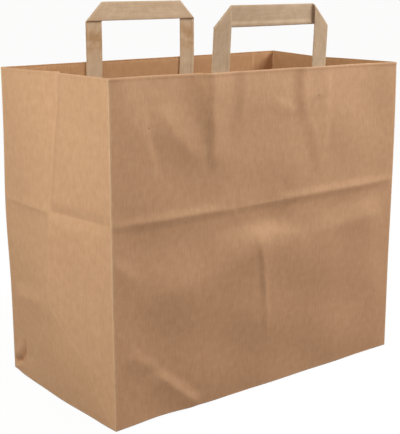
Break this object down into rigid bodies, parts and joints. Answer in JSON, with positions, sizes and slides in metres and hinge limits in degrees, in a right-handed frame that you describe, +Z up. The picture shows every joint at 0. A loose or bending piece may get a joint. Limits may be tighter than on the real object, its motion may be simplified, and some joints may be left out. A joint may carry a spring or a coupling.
{
  "type": "paper carrier bag",
  "caption": "Kraft paper carrier bag with a block bottom, side gussets and flat folded tape handles, standing open.",
  "frame": {"origin": "on the floor, under the middle of the bag", "axes": "+X along the front panel to its right end, +Y from the front panel to the back panel, +Z up"},
  "size_m": [0.34, 0.1858, 0.3351],
  "materials": {
    "kraft_sheet": "matt, faintly ribbed, machine-glazed brown kraft",
    "handle_tape": "matt folded kraft tape, paler and greyer than the bag",
    "kraft_patch": "matt brown kraft"
  },
  "bodies": {
    "root": {"bag_body": "kraft_sheet", "front_handle": "handle_tape", "back_handle": "handle_tape", "front_handle_patch": "kraft_patch", "back_handle_patch": "kraft_patch"}
  },
  "joints": []
}
